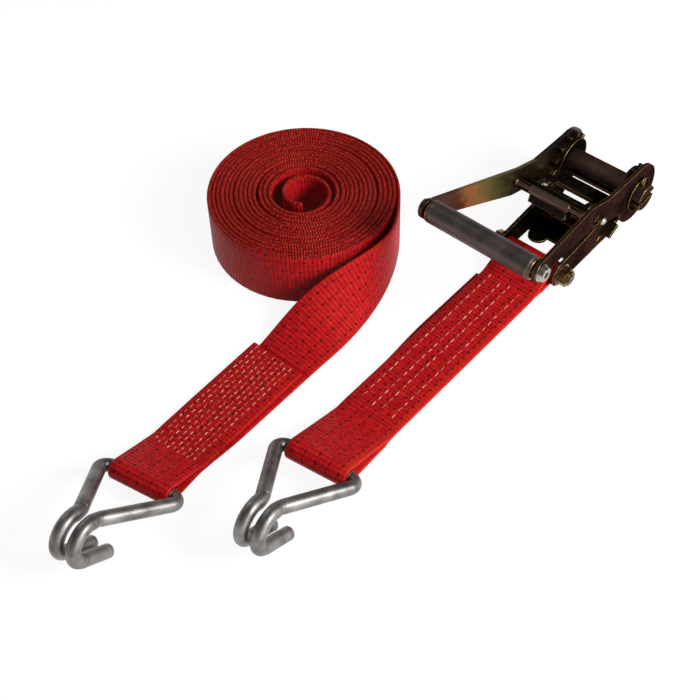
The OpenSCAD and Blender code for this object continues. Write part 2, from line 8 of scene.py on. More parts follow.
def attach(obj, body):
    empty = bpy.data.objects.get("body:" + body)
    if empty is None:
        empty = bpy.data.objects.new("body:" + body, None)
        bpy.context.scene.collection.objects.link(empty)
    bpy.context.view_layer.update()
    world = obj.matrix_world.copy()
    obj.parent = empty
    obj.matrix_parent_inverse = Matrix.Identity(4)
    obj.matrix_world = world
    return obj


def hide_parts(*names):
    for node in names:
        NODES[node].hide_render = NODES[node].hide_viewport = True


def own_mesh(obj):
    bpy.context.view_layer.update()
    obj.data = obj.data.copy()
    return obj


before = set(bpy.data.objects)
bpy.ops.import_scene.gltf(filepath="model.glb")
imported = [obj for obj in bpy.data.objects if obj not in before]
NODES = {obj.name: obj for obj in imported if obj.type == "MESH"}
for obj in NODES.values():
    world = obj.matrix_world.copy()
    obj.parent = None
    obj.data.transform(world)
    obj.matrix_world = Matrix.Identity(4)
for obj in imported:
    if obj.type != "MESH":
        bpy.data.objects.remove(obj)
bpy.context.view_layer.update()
MM = 0.001

# Sizes of the set, in millimetres
WEB_W, WEB_T, EYE_GAP = 50.0, 2.6, 0.4
ROD_R, BOLT_R = 5.3, 5.0
SHORT_LEN, SHORT_HOOK_EYE, SHORT_BOLT_EYE = 267.5, 56.5, 32.0
SHORT_ROD_Z, SHORT_TURN = 22.9, 7.9
LONG_SEWN, LONG_HOOK_EYE, LONG_ROD_Z = 150.0, 41.8, 15.6
LONG_TURN, LONG_YAW, LONG_FLAT = 10.4, 0.3, 32.0
LONG_X, LONG_Y = -193.3, -11.2
ROLL_R, ROLL_PITCH, ROLL_TURNS, ROLL_ENTRY = 79.0, 3.75, 14, -49.0
ROLL_X, ROLL_Y = 72.1, 74.8
RATCHET_X, RATCHET_Y, SPINDLE_Z = 253.7, -91.0, 37.0
BOLT_DX, BOLT_Z = 92.0, 11.0
HANDLE_RAISE, HANDLE_LEN, GRIP_HALF, GRIP_D, HANDLE_T = 17.5, 175.0, 52.0, 18.5, 3.0
LOCK_SLOPE, LOCK_TIP, DRIVE_TIP, PAWL_OFF, PAWL_TRAVEL = 28.0, 18.0, 24.4, 6.0, 6.0
FINGER_U, FINGER_W, FINGER_Y, EAR_U, EAR_Y = 80.0, 2.5, 30.4, 56.0, 37.9


# Camera: angles in degrees, distance in metres, focal length in pixels, and the point it looks at
CAM_TURN, CAM_LIFT, CAM_ROLL = 48.4, 49.94, -1.37
CAM_BACK, CAM_FOCUS, FRAME_PX, SENSOR = 0.9972, 1289.6, 700, 36
CAM_LOOK = (0.39, -35.79, 0)


def make_camera():
    turn, lift, roll = (math.radians(v) for v in (CAM_TURN, CAM_LIFT, CAM_ROLL))
    level = math.cos(lift)
    back = Vector((-math.sin(turn) * level, -math.cos(turn) * level, math.sin(lift)))
    side = Vector((math.cos(turn), -math.sin(turn), 0))
    top = back.cross(side)
    right = math.cos(roll) * side + math.sin(roll) * top
    up = -math.sin(roll) * side + math.cos(roll) * top
    place = Vector(CAM_LOOK) * MM + back * CAM_BACK
    data = bpy.data.cameras.new("camera")
    data.sensor_width = SENSOR
    data.lens = SENSOR * CAM_FOCUS / FRAME_PX
    data.clip_start = 0.05
    data.clip_end = 20
    cam = bpy.data.objects.new("camera", data)
    bpy.context.scene.collection.objects.link(cam)
    cam.matrix_world = Matrix(
        (
            (right.x, up.x, back.x, place.x),
            (right.y, up.y, back.y, place.y),
            (right.z, up.z, back.z, place.z),
            (0, 0, 0, 1),
        )
    )
    bpy.context.scene.camera = cam


make_camera()


# Node helpers
class Nodes:
    def __init__(self, name):
        self.mat = bpy.data.materials.new(name)
        self.mat.use_nodes = True
        self.tree = self.mat.node_tree
        self.tree.nodes.clear()
        self.out = self.tree.nodes.new("ShaderNodeOutputMaterial")

    def new(self, kind, **sets):
        n = self.tree.nodes.new(kind)
        for k, v in sets.items():
            setattr(n, k, v)
        return n

    def link(self, a, b):
        self.tree.links.new(a, b)

    def put(self, socket, value):
        if isinstance(value, bpy.types.NodeSocket):
            self.link(value, socket)
        else:
            socket.default_value = value

    def math(self, op, a, b=0.0, c=0.0):
        n = self.new("ShaderNodeMath", operation=op)
        for s, v in zip(n.inputs, (a, b, c)):
            self.put(s, v)
        return n.outputs[0]

    def mix(self, fac, a, b):
        n = self.new("ShaderNodeMix", data_type="RGBA")
        self.put(n.inputs[0], fac)
        self.put(n.inputs[6], a)
        self.put(n.inputs[7], b)
        return n.outputs[2]

    def ramp(self, fac, stops):
        n = self.new("ShaderNodeValToRGB")
        e = n.color_ramp.elements
        while len(e) < len(stops):
            e.new(0.5)
        for el, (pos, col) in zip(e, stops):
            el.position = pos
            el.color = (*col, 1)
        self.put(n.inputs[0], fac)
        return n.outputs[0]

    def noise(self, vector, scale, detail=3.0, rough=0.55):
        n = self.new("ShaderNodeTexNoise")
        self.put(n.inputs["Vector"], vector)
        n.inputs["Scale"].default_value = scale
        n.inputs["Detail"].default_value = detail
        n.inputs["Roughness"].default_value = rough
        return n.outputs["Fac"]

    def place(self):
        return self.new("ShaderNodeTexCoord").outputs["Object"]

    def bump(self, height, strength, distance, normal=None):
        n = self.new("ShaderNodeBump")
        n.inputs["Strength"].default_value = strength
        n.inputs["Distance"].default_value = distance
        self.put(n.inputs["Height"], height)
        if normal is not None:
            self.link(normal, n.inputs["Normal"])
        return n.outputs[0]

    def surface(self, **sets):
        p = self.new("ShaderNodeBsdfPrincipled")
        for k, v in sets.items():
            self.put(p.inputs[k.replace("_", " ")], v)
        self.link(p.outputs[0], self.out.inputs["Surface"])
        return p


def rgb(r, g, b):
    return (r, g, b, 1.0)


# Points given from the spindle, tilted with the handle or a pawl, in the frame of the set
def in_ratchet(points, tilt):
    a = math.radians(tilt)
    p = np.asarray(points, float)
    x = p[:, 0] * math.cos(a) + p[:, 2] * math.sin(a)
    z = -p[:, 0] * math.sin(a) + p[:, 2] * math.cos(a)
    return np.stack([x + RATCHET_X, p[:, 1] + RATCHET_Y, z + SPINDLE_Z], 1)


# Webbing: cross ribs, notched edges, fine warp lines and staggered dark dashes, along the band's UV
RIB_PITCH, NOTCH_PITCH, WARP_PITCH = 3.4, 2.2, 1.25
ROW_PITCH, ROW_HALF, DASH_PITCH, DASH_HALF = 9.75, 0.55, 6.8, 1.5
EDGE_AT, DASH_LIMIT, LIT_BORDER_AT, FOLD_SHADE_HALF = 23.6, 23.0, 18.5, 0.35


def webbing_material(name, roll_from, lit_border):
    m = Nodes(name)
    uv = m.new("ShaderNodeUVMap", uv_map="band").outputs[0]
    sep = m.new("ShaderNodeSeparateXYZ")
    m.link(uv, sep.inputs[0])
    along = m.math("MULTIPLY", sep.outputs[0], WEB_W)
    across = m.math("SUBTRACT", m.math("MULTIPLY", sep.outputs[1], WEB_W), WEB_W / 2)
    place = m.place()
    drift = m.noise(place, 60.0, 2.0)
    wobble = m.math("MULTIPLY", m.math("SUBTRACT", drift, 0.5), 0.9)

    def stripes(pitch, power):
        at = m.math("MULTIPLY_ADD", along, 2 * math.pi / pitch, wobble)
        return m.math("POWER", m.math("MULTIPLY_ADD", m.math("COSINE", at), -0.5, 0.5), power)

    rib = stripes(RIB_PITCH, 0.5)
    notch = stripes(NOTCH_PITCH, 0.6)
    edge = m.math("GREATER_THAN", m.math("ABSOLUTE", across), EDGE_AT)
    ridge = m.math("MULTIPLY_ADD", edge, m.math("SUBTRACT", notch, rib), rib)
    weft = m.math("COSINE", m.math("MULTIPLY", across, 2 * math.pi / WARP_PITCH))
    height = m.math("MULTIPLY_ADD", m.math("MULTIPLY_ADD", weft, 0.5, 0.5), 0.28, ridge)
    fine = m.noise(place, 1500.0, 2.0)
    height = m.math("MULTIPLY_ADD", fine, 0.1, height)
    row = m.math("ROUND", m.math("DIVIDE", across, ROW_PITCH))
    off = m.math("ABSOLUTE", m.math("SUBTRACT", across, m.math("MULTIPLY", row, ROW_PITCH)))
    in_row = m.math("LESS_THAN", off, ROW_HALF)
    odd = m.math("MODULO", m.math("ABSOLUTE", row), 2.0)
    shifted = m.math("MULTIPLY_ADD", odd, DASH_PITCH / 2, along)
    step = m.math("FLOORED_MODULO", shifted, DASH_PITCH)
    dash = m.math("COMPARE", step, DASH_PITCH / 2, DASH_HALF)
    inside = m.math("LESS_THAN", m.math("ABSOLUTE", across), DASH_LIMIT)
    tracer = m.math("MULTIPLY", m.math("MULTIPLY", in_row, dash), inside)
    # Random tone, plus painted light on the rib crowns and painted shade in the rib grooves
    shade = m.math("MULTIPLY_ADD", m.noise(place, 260.0, 4.0), 0.78, m.math("MULTIPLY", rib, 0.25))
    red = m.ramp(
        shade,
        [(0.25, (0.26, 0.004, 0.008)), (0.55, (0.41, 0.007, 0.011)), (0.8, (0.58, 0.020, 0.014))],
    )
    # Painted light on the edges: a slight painted highlight on the flat runs, and on the roll a
    # painted shade with painted glints on the notches
    wound = m.math("GREATER_THAN", along, roll_from)
    glint_speck = m.math("MULTIPLY", m.noise(place, 420.0, 2.0), notch)
    dark = m.ramp(
        glint_speck,
        [(0.12, (0.10, 0.002, 0.005)), (0.36, (0.27, 0.006, 0.010)), (0.56, (0.60, 0.045, 0.018))],
    )
    painted_edge_light = m.mix(wound, rgb(0.66, 0.030, 0.012), dark)
    red = m.mix(m.math("MULTIPLY", edge, m.math("MULTIPLY_ADD", wound, 0.8, 0.15)), red, painted_edge_light)
    # Painted light on one border of the short strap: a lighter band where its drooping edge would
    # catch the light, beyond a painted dark line of shade at the fold
    side = m.math("MULTIPLY", m.math("LESS_THAN", across, -LIT_BORDER_AT - 0.1), lit_border)
    red = m.mix(m.math("MULTIPLY", side, 0.3), red, rgb(0.62, 0.028, 0.014))
    fold_shade = m.math("MULTIPLY", m.math("COMPARE", across, 0.1 - LIT_BORDER_AT, FOLD_SHADE_HALF), lit_border)
    red = m.mix(m.math("MULTIPLY", fold_shade, 0.6), red, rgb(0.12, 0.002, 0.004))
    colour = m.mix(m.math("MULTIPLY", tracer, 0.9), red, rgb(0.016, 0.005, 0.007))
    low = m.math("MULTIPLY_ADD", tracer, -0.25, height)
    gleam = m.math("MULTIPLY", edge, wound)
    m.surface(
        Base_Color=colour,
        Roughness=m.math("MULTIPLY_ADD", fine, 0.16, m.math("MULTIPLY_ADD", gleam, -0.12, 0.40)),
        Specular_IOR_Level=0.12,
        Specular_Tint=rgb(1.0, 0.38, 0.2),
        Normal=m.bump(low, 0.42, 0.0008),
    )
    return m.mat


def thread_material():
    m = Nodes("stitch_thread")
    place = m.place()
    twist = m.noise(place, 2600.0, 1.0)
    tone = m.noise(place, 230.0, 2.0)
    colour = m.ramp(
        tone,
        [(0.36, (0.42, 0.03, 0.02)), (0.5, (0.64, 0.16, 0.09)), (0.64, (0.80, 0.40, 0.28))],
    )
    m.surface(
        Base_Color=colour,
        Roughness=0.55,
        Sheen_Weight=0.1,
        Normal=m.bump(twist, 0.4, 0.0003),
    )
    return m.mat


# Plates: dark yellow-passivated zinc with drifting interference colours and painted highlights
# along the edges
PLATE_EDGE, METAL_EDGE, ROD_REACH = 0.0007, 0.0005, 0.0036


def edge_mask(m, radius):
    bevel = m.new("ShaderNodeBevel", samples=4)
    bevel.inputs["Radius"].default_value = radius
    true = m.new("ShaderNodeNewGeometry").outputs["Normal"]
    dot = m.new("ShaderNodeVectorMath", operation="DOT_PRODUCT")
    m.link(bevel.outputs[0], dot.inputs[0])
    m.link(true, dot.inputs[1])
    edge_band = m.math("SUBTRACT", 1.0, dot.outputs["Value"])
    edge_band = m.math("MINIMUM", m.math("MULTIPLY", edge_band, 7.0), 1.0)
    return bevel.outputs[0], edge_band


def plate_material(name, stops, scale, edge_glint_colour, rough, tint, rod_lit_stops=None):
    m = Nodes(name)
    place = m.place()
    soft = m.noise(place, scale, 3.0)
    fine = m.noise(place, 420.0, 3.0)
    blend = m.math("MULTIPLY_ADD", fine, 0.12, m.math("MULTIPLY", soft, 0.9))
    colour = m.ramp(blend, stops)
    if rod_lit_stops:
        # Painted light: the finger rod gets a lighter brown tone, as if lit, while the rest of the
        # pawl stays dark
        axis = in_ratchet([(-FINGER_U, 0, FINGER_W)], HANDLE_RAISE)[0] * MM
        sep = m.new("ShaderNodeSeparateXYZ")
        m.link(place, sep.inputs[0])
        dx = m.math("SUBTRACT", sep.outputs[0], axis[0])
        dz = m.math("SUBTRACT", sep.outputs[2], axis[2])
        off = m.math("SQRT", m.math("MULTIPLY_ADD", dx, dx, m.math("MULTIPLY", dz, dz)))
        colour = m.mix(m.math("LESS_THAN", off, ROD_REACH), colour, m.ramp(blend, rod_lit_stops))
    normal, edge_band = edge_mask(m, PLATE_EDGE)
    # Painted highlight: patchy bright gold along the edges
    patchy_edge_glint = m.math("MULTIPLY", edge_band, m.math("MULTIPLY_ADD", fine, 1.1, 0.1))
    colour = m.mix(patchy_edge_glint, colour, edge_glint_colour)
    m.surface(
        Base_Color=colour,
        Metallic=1.0,
        Specular_Tint=tint,
        Roughness=m.math("MULTIPLY_ADD", fine, 0.2, rough),
        Normal=m.bump(fine, 0.12, 0.0002, normal),
    )
    return m.mat


# Far arm of the handle: bands of interference colour along its length
ARM_START, ARM_RUN = 0.085, 0.17


def far_arm_material():
    m = Nodes("zinc_gold_arm")
    place = m.place()
    sep = m.new("ShaderNodeSeparateXYZ")
    m.link(place, sep.inputs[0])
    run = m.math("DIVIDE", m.math("SUBTRACT", sep.outputs[0], ARM_START), ARM_RUN)
    cloud = m.noise(place, 38.0, 3.0)
    fine = m.noise(place, 420.0, 3.0)
    at = m.math("MULTIPLY_ADD", m.math("SUBTRACT", cloud, 0.5), 0.35, run)
    colour = m.ramp(
        at,
        [
            (0.0, (0.10, 0.045, 0.03)),
            (0.15, (0.14, 0.06, 0.035)),
            (0.22, (0.48, 0.18, 0.05)),
            (0.30, (0.50, 0.25, 0.08)),
            (0.37, (0.31, 0.23, 0.07)),
            (0.47, (0.25, 0.22, 0.08)),
            (0.57, (0.10, 0.07, 0.035)),
            (0.75, (0.16, 0.09, 0.03)),
            (0.9, (0.06, 0.04, 0.03)),
        ],
    )
    normal, edge_band = edge_mask(m, PLATE_EDGE)
    colour = m.mix(m.math("MULTIPLY", edge_band, 0.4), colour, rgb(0.10, 0.055, 0.025))
    m.surface(
        Base_Color=colour,
        Metallic=1.0,
        Roughness=m.math("MULTIPLY_ADD", fine, 0.2, 0.28),
        Normal=m.bump(fine, 0.12, 0.0002, normal),
    )
    return m.mat


def metal_material(name, dark, light, scale, rough, streak=0.0):
    m = Nodes(name)
    place = m.place()
    tone = m.noise(place, scale, 4.0)
    fine = m.noise(place, 900.0, 2.0)
    colour = m.ramp(tone, [(0.32, dark), (0.68, light)])
    normal, edge_band = edge_mask(m, METAL_EDGE)
    # Painted highlight: edges lighter than the metal's light tone
    colour = m.mix(m.math("MULTIPLY", edge_band, 0.35), colour, rgb(*(min(1.0, 1.3 * c) for c in light)))
    m.surface(
        Base_Color=colour,
        Metallic=1.0,
        Roughness=m.math("MULTIPLY_ADD", tone, 0.22, rough),
        Normal=m.bump(fine, 0.1 + streak, 0.0002, normal),
    )
    return m.mat


BROWN = [
    (0.30, (0.030, 0.021, 0.019)),
    (0.42, (0.060, 0.037, 0.034)),
    (0.52, (0.11, 0.055, 0.055)),
    (0.62, (0.09, 0.068, 0.038)),
    (0.74, (0.20, 0.11, 0.045)),
]
DARK = [
    (0.30, (0.010, 0.010, 0.009)),
    (0.45, (0.018, 0.017, 0.014)),
    (0.58, (0.040, 0.031, 0.020)),
    (0.75, (0.10, 0.062, 0.026)),
]
DRUM = [
    (0.30, (0.066, 0.040, 0.032)),
    (0.50, (0.12, 0.070, 0.052)),
    (0.70, (0.19, 0.115, 0.075)),
]
# Painted light: lighter tone for the finger rod, as if lit
ROD_LIT = [
    (0.30, (0.12, 0.085, 0.075)),
    (0.50, (0.20, 0.14, 0.12)),
    (0.70, (0.30, 0.22, 0.18)),
]
# Painted highlight colour along the plates' edges
GOLD_EDGE_GLINT = rgb(0.75, 0.47, 0.18)
DIM = rgb(0.16, 0.12, 0.10)
BLACK = rgb(0.05, 0.04, 0.03)

brown_mat = plate_material("zinc_brown", BROWN, 26.0, GOLD_EDGE_GLINT, 0.30, DIM)
dark_mat = plate_material("zinc_dark", DARK, 30.0, GOLD_EDGE_GLINT, 0.36, BLACK)
drum_mat = plate_material("zinc_drum", DRUM, 30.0, GOLD_EDGE_GLINT, 0.36, DIM)
pawl_mat = plate_material("zinc_pawl", DARK, 30.0, GOLD_EDGE_GLINT, 0.36, BLACK, ROD_LIT)
arm_mat = far_arm_material()
thread_mat = thread_material()
grip_mat = metal_material("grip_lacquer", (0.105, 0.085, 0.078), (0.17, 0.14, 0.127), 60.0, 0.38)
ring_mat = metal_material("zinc_ring", (0.10, 0.06, 0.025), (0.30, 0.18, 0.07), 90.0, 0.25)
bolt_mat = metal_material("zinc_bright", (0.24, 0.22, 0.18), (0.50, 0.47, 0.41), 120.0, 0.18)
nut_mat = metal_material("zinc_yellow", (0.06, 0.035, 0.015), (0.30, 0.19, 0.07), 110.0, 0.24)
spring_mat = metal_material("spring_wire", (0.04, 0.03, 0.02), (0.13, 0.10, 0.06), 200.0, 0.28)
hook_mat = metal_material("hook_satin", (0.12, 0.112, 0.108), (0.33, 0.31, 0.295), 75.0, 0.34, 0.10)

FINISH = {
    "frame_cheek_left": dark_mat,
    "frame_cheek_right": brown_mat,
    "frame_floor": dark_mat,
    "lock_pawl": dark_mat,
    "drive_pawl": pawl_mat,
    "handle_cheek_left": arm_mat,
    "handle_cheek_right": brown_mat,
    "handle_bridge": dark_mat,
    "spindle_half_upper": drum_mat,
    "spindle_half_lower": drum_mat,
    "ratchet_wheel_left": brown_mat,
    "ratchet_wheel_right": brown_mat,
    "tail_bolt": nut_mat,
    "tail_nut": nut_mat,
    "tail_washers": nut_mat,
    "spindle_washers": dark_mat,
    "split_pins": nut_mat,
    "grip_bolt": bolt_mat,
    "grip_nut": bolt_mat,
    "short_hook": hook_mat,
    "long_hook": hook_mat,
}
for node, mat in FINISH.items():
    NODES[node].data.materials.clear()
    NODES[node].data.materials.append(mat)


# Mesh helpers
def make_object(name, verts, faces, mat, uv=None):
    mesh = bpy.data.meshes.new(name)
    mesh.from_pydata([tuple(v) for v in np.asarray(verts) * MM], [], faces)
    if uv is not None:
        layer = mesh.uv_layers.new(name="band")
        index = np.zeros(len(mesh.loops), int)
        mesh.loops.foreach_get("vertex_index", index)
        layer.data.foreach_set("uv", np.asarray(uv, np.float32)[index].ravel())
    mesh.polygons.foreach_set("use_smooth", [True] * len(mesh.polygons))
    mesh.materials.append(mat)
    mesh.update()
    obj = bpy.data.objects.new(name, mesh)
    bpy.context.scene.collection.objects.link(obj)
    return obj


def ring_faces(n, m, closed=False):
    faces = []
    for i in range(n - (0 if closed else 1)):
        a, b = i * m, ((i + 1) % n) * m
        for j in range(m):
            k = (j + 1) % m
            faces.append((a + j, a + k, b + k, b + j))
    if not closed:
        faces.append(tuple(range(m - 1, -1, -1)))
        faces.append(tuple((n - 1) * m + j for j in range(m)))
    return faces


def smooth_step(t):
    t = np.clip(t, 0.0, 1.0)
    return t * t * (3 - 2 * t)


def unit(v):
    return v / np.linalg.norm(v, axis=-1, keepdims=True)


# Band of webbing along centre points, with its directions and its thickness at each
def make_band(name, centre, across, normal, thick, mat):
    half = WEB_W / 2
    rim = [(half - 1.7, 1.0), (half - 0.75, 0.82), (half - 0.2, 0.45)]
    upper = [(half / 2, 1.0)] + rim
    side = upper + [(half, 0)] + [(v, -z) for v, z in upper[::-1]]
    section = [(0, 1.0)] + side + [(0, -1.0)] + [(-v, z) for v, z in side[::-1]]
    m, n = len(section), len(centre)
    run = run_length(centre)
    verts, uv = [], []
    for i in range(n):
        for v, z in section:
            verts.append(centre[i] + across[i] * v + normal[i] * (z * thick[i] / 2))
            uv.append((run[i] / WEB_W, v / WEB_W + 0.5))
    return make_object(name, verts, ring_faces(n, m), mat, uv)


def run_length(points):
    return np.concatenate([[0], np.cumsum(np.linalg.norm(np.diff(points, axis=0), axis=1))])


# Angle at which the line from p touches a circle, on one side
def touch(p, c, r, side):
    d = math.hypot(p[0] - c[0], p[1] - c[1])
    a = math.atan2(p[1] - c[1], p[0] - c[0])
    b = math.acos(r / d)
    return a + side * b


# Side view of an eye: up one leg, round the rod and back down the other, as points (x, z)
def eye_points(low, high, c, r):
    a0 = touch(low, c, r, 1)
    a1 = touch(high, c, r, -1)
    while a1 < a0:
        a1 += 2 * math.pi
    return [(c[0] + r * math.cos(a), c[1] + r * math.sin(a)) for a in np.linspace(a0, a1, 33)]


def resample(points, step):
    p = np.asarray(points, float)
    s = run_length(p)
    t = np.linspace(0, s[-1], max(2, int(round(s[-1] / step)) + 1))
    return np.stack([np.interp(t, s, p[:, k]) for k in range(p.shape[1])], 1)


def relax(p, rounds):
    p = p.copy()
    for _ in range(rounds):
        p[1:-1] = p[1:-1] * 0.5 + (p[:-2] + p[2:]) * 0.25
    return p


# Places along a strap that turns sideways by an angle near one point
def side_turn(x, bend_at, turn, spread=16.0):
    grid = np.linspace(-40, 420, 4601)
    angle = math.radians(turn) * smooth_step((grid - bend_at + spread) / (2 * spread))
    squeeze = np.concatenate([[0], np.cumsum(np.cos(angle[:-1]) * np.diff(grid))]) + grid[0]
    sway = np.concatenate([[0], np.cumsum(np.sin(angle[:-1]) * np.diff(grid))])
    return np.interp(x, grid, squeeze), np.interp(x, grid, sway), np.interp(x, grid, angle)


# Short strap: one strip whose two ends meet in the lower layer, near the ratchet
def short_strip():
    r = ROD_R + EYE_GAP + WEB_T / 2
    bolt_r = BOLT_R + EYE_GAP + WEB_T / 2
    low, high = WEB_T / 2, 1.5 * WEB_T
    join = 34.0
    plain = SHORT_LEN - SHORT_HOOK_EYE
    bolt = eye_points((SHORT_BOLT_EYE, high), (SHORT_BOLT_EYE, low), (0.0, BOLT_Z), bolt_r)[::-1]
    rod = eye_points((plain, low), (plain, high), (SHORT_LEN, SHORT_ROD_Z), r)[::-1]
    path = [(join, low), (SHORT_BOLT_EYE, low)] + bolt + [(SHORT_BOLT_EYE, high)]
    path += [(plain, high)] + rod + [(plain, low), (join + 1.2, low)]
    flat = resample(path, 1.5)
    calm = relax(flat, 6)
    near_rod = np.minimum(
        np.hypot(flat[:, 0] - SHORT_LEN, flat[:, 1] - SHORT_ROD_Z),
        np.hypot(flat[:, 0], flat[:, 1] - BOLT_Z),
    )
    keep = smooth_step((near_rod - 9.0) / 6.0)[:, None]
    flat = flat * (1 - keep) + calm * keep
    x, sway, angle = side_turn(flat[:, 0], plain, SHORT_TURN)
    base = np.array([RATCHET_X - BOLT_DX, RATCHET_Y])
    centre = np.stack([base[0] - x, base[1] - sway, flat[:, 1]], 1)
    across = np.stack([-np.sin(angle), np.cos(angle), 0 * angle], 1)
    # The lower layer lies a little to the far side of the upper one between the two eyes
    lower = 1 - smooth_step((flat[:, 1] - low) / (high - low))
    beyond = np.arange(len(flat)) > len(flat) / 2
    aside = beyond * smooth_step((SHORT_LEN - 25 - flat[:, 0]) / 30)
    aside = aside * (1.2 + 2.5 * smooth_step((165.0 - flat[:, 0]) / 60))
    aside = aside + (1 - beyond) * 1.6 * smooth_step((flat[:, 0] - 12) / 16)
    centre += across * (lower * aside)[:, None]
    tangent = unit(np.gradient(centre, axis=0))
    normal = unit(np.cross(across, tangent))
    # Where the upper layer begins, counted along the strip
    top = run_length(centre)[np.argmax((flat[:, 0] > SHORT_BOLT_EYE) & (flat[:, 1] > WEB_T))]
    return (centre, across, normal, np.full(len(centre), WEB_T - 0.1)), top


# Roll: points in a turn, thickness of a wound layer, and the part of a turn that curls in its eye
ROLL_STEPS, ROLL_LAYER, CORE_TURN, CORE_CURL = 64, 3.5, 0.75, 9.0

# Loose places in the winding: turn, spread in turns, and how far they stand open
LOOSE_PLACES = [
    (2.1, 0.2, 0.5),
    (4.0, 0.2, 1.0),
    (5.65, 0.25, 0.6),
    (7.9, 0.2, 0.4),
    (10.5, 0.25, 1.2),
    (12.2, 0.3, 1.2),
]


# Long strap: sewn eye, flat run, twist onto the edge, and the roll
def long_strip():
    r = ROD_R + EYE_GAP + WEB_T / 2
    low, high = WEB_T / 2, 1.5 * WEB_T
    rod = eye_points((LONG_HOOK_EYE, high), (LONG_HOOK_EYE, low), (0.0, LONG_ROD_Z), r)
    path = [(LONG_SEWN, high), (LONG_HOOK_EYE, high)] + rod
    path += [(LONG_HOOK_EYE, low), (LONG_SEWN, low)]
    flat = resample(path, 1.5)
    calm = relax(flat, 6)
    keep = smooth_step((np.hypot(flat[:, 0], flat[:, 1] - LONG_ROD_Z) - 9.0) / 6.0)[:, None]
    flat = flat * (1 - keep) + calm * keep
    t0, t1 = math.radians(LONG_TURN), math.radians(LONG_YAW)
    grid = np.linspace(-40, 260, 3001)
    angle = t0 + (t1 - t0) * smooth_step((grid - LONG_HOOK_EYE + 16) / 32)
    gx = np.concatenate([[0], np.cumsum(np.cos(angle[:-1]) * np.diff(grid))])
    gy = np.concatenate([[0], np.cumsum(np.sin(angle[:-1]) * np.diff(grid))])
    gx -= np.interp(0, grid, gx)
    gy -= np.interp(0, grid, gy)
    a = np.interp(flat[:, 0], grid, angle)
    x = LONG_X + np.interp(flat[:, 0], grid, gx)
    y = LONG_Y + np.interp(flat[:, 0], grid, gy)
    centre = np.stack([x, y, flat[:, 1]], 1)
    across = np.stack([-np.sin(a), np.cos(a), 0 * a], 1)
    upper = smooth_step((flat[:, 1] - low) / (high - low))
    between = smooth_step((flat[:, 0] - 30) / 50)
    skew = 2.2 * (flat[:, 0] - LONG_HOOK_EYE) / (LONG_SEWN - LONG_HOOK_EYE)
    centre += across * (between * (upper * skew + (1 - upper) * -2.2))[:, None]
    tangent = unit(np.gradient(centre, axis=0))
    normal = unit(np.cross(across, tangent))
    # Tail
    left = np.array([-math.sin(t1), math.cos(t1)])
    ahead = np.array([math.cos(t1), math.sin(t1)])
    end = centre[-1, :2] - left * WEB_W / 2
    start = end + ahead * LONG_FLAT
    entry = math.radians(ROLL_ENTRY)
    hub = np.array([ROLL_X, ROLL_Y])
    last = hub + (ROLL_R - WEB_T) * np.array([math.cos(entry), math.sin(entry)])
    away = np.array([-math.sin(entry), math.cos(entry)])
    pull = np.linalg.norm(last - start)

    def edge(t):
        t = np.asarray(t, float)[:, None]
        bent = (
            (2 * t**3 - 3 * t**2 + 1) * start + (t**3 - 2 * t**2 + t) * pull * ahead
            + (3 * t**2 - 2 * t**3) * last + (t**3 - t**2) * pull * away
        )
        return np.where(t < 0, start + t * pull * ahead, bent)

    t = np.linspace(-LONG_FLAT / pull, 1, 100)[1:]
    p = edge(t)
    d = edge(np.minimum(1, t + 0.005)) - edge(t - 0.005)
    d = unit(d)
    d[-1] = away
    lean = math.pi / 2 * smooth_step((t + 0.3) / 1.05)
    side = np.stack([-d[:, 1], d[:, 0]], 1)
    ac = np.stack([side[:, 0] * np.cos(lean), side[:, 1] * np.cos(lean), np.sin(lean)], 1)
    up = np.stack([-side[:, 0] * np.sin(lean), -side[:, 1] * np.sin(lean), np.cos(lean)], 1)
    base = np.stack([p[:, 0], p[:, 1], 0 * t], 1)
    tail_c = base + ac * WEB_W / 2 + up * WEB_T / 2
    # Roll: each turn lies on the one before it, apart from a few loose places
    per = ROLL_STEPS
    turn = np.arange(int((ROLL_TURNS + CORE_TURN) * per) + 1) / per
    loose = np.full(len(turn), 0.04)
    for at, wide, open_ in LOOSE_PLACES:
        loose += open_ * np.exp(-(((turn - at) / wide) ** 2))
    spare = ROLL_TURNS * (ROLL_PITCH - ROLL_LAYER)
    loose *= spare / (loose[: (ROLL_TURNS - 1) * per].sum() / per + loose[0])
    radius = ROLL_R - WEB_T / 2 - (ROLL_LAYER + loose[0]) * turn
    for i in range(per, len(turn)):
        radius[i] = radius[i - per] - ROLL_LAYER - loose[i - per]
    radius -= CORE_CURL * smooth_step((turn - ROLL_TURNS + 0.5) / (0.5 + CORE_TURN))
    turn, radius = turn[1:], radius[1:]
    phi = entry + 2 * math.pi * turn
    lift = 0.3 * (1 + np.sin(2 * math.pi * turn / 3.1 + 1.0)) * smooth_step(turn / 0.5)
    out = np.stack([np.cos(phi), np.sin(phi), 0 * phi], 1)
    roll_c = np.array([ROLL_X, ROLL_Y, WEB_W / 2]) + out * radius[:, None]
    roll_c[:, 2] += lift
    stand = np.tile([0.0, 0.0, 1.0], (len(turn), 1))
    thick = np.full(len(centre) + len(tail_c) + len(roll_c), WEB_T - 0.1)
    thick[-len(roll_c):] += (ROLL_LAYER - WEB_T + 0.1) * smooth_step(turn / 0.6)
    return (
        np.concatenate([centre, tail_c, roll_c]),
        np.concatenate([across, ac, stand]),
        np.concatenate([normal, up, out]),
        thick,
    )


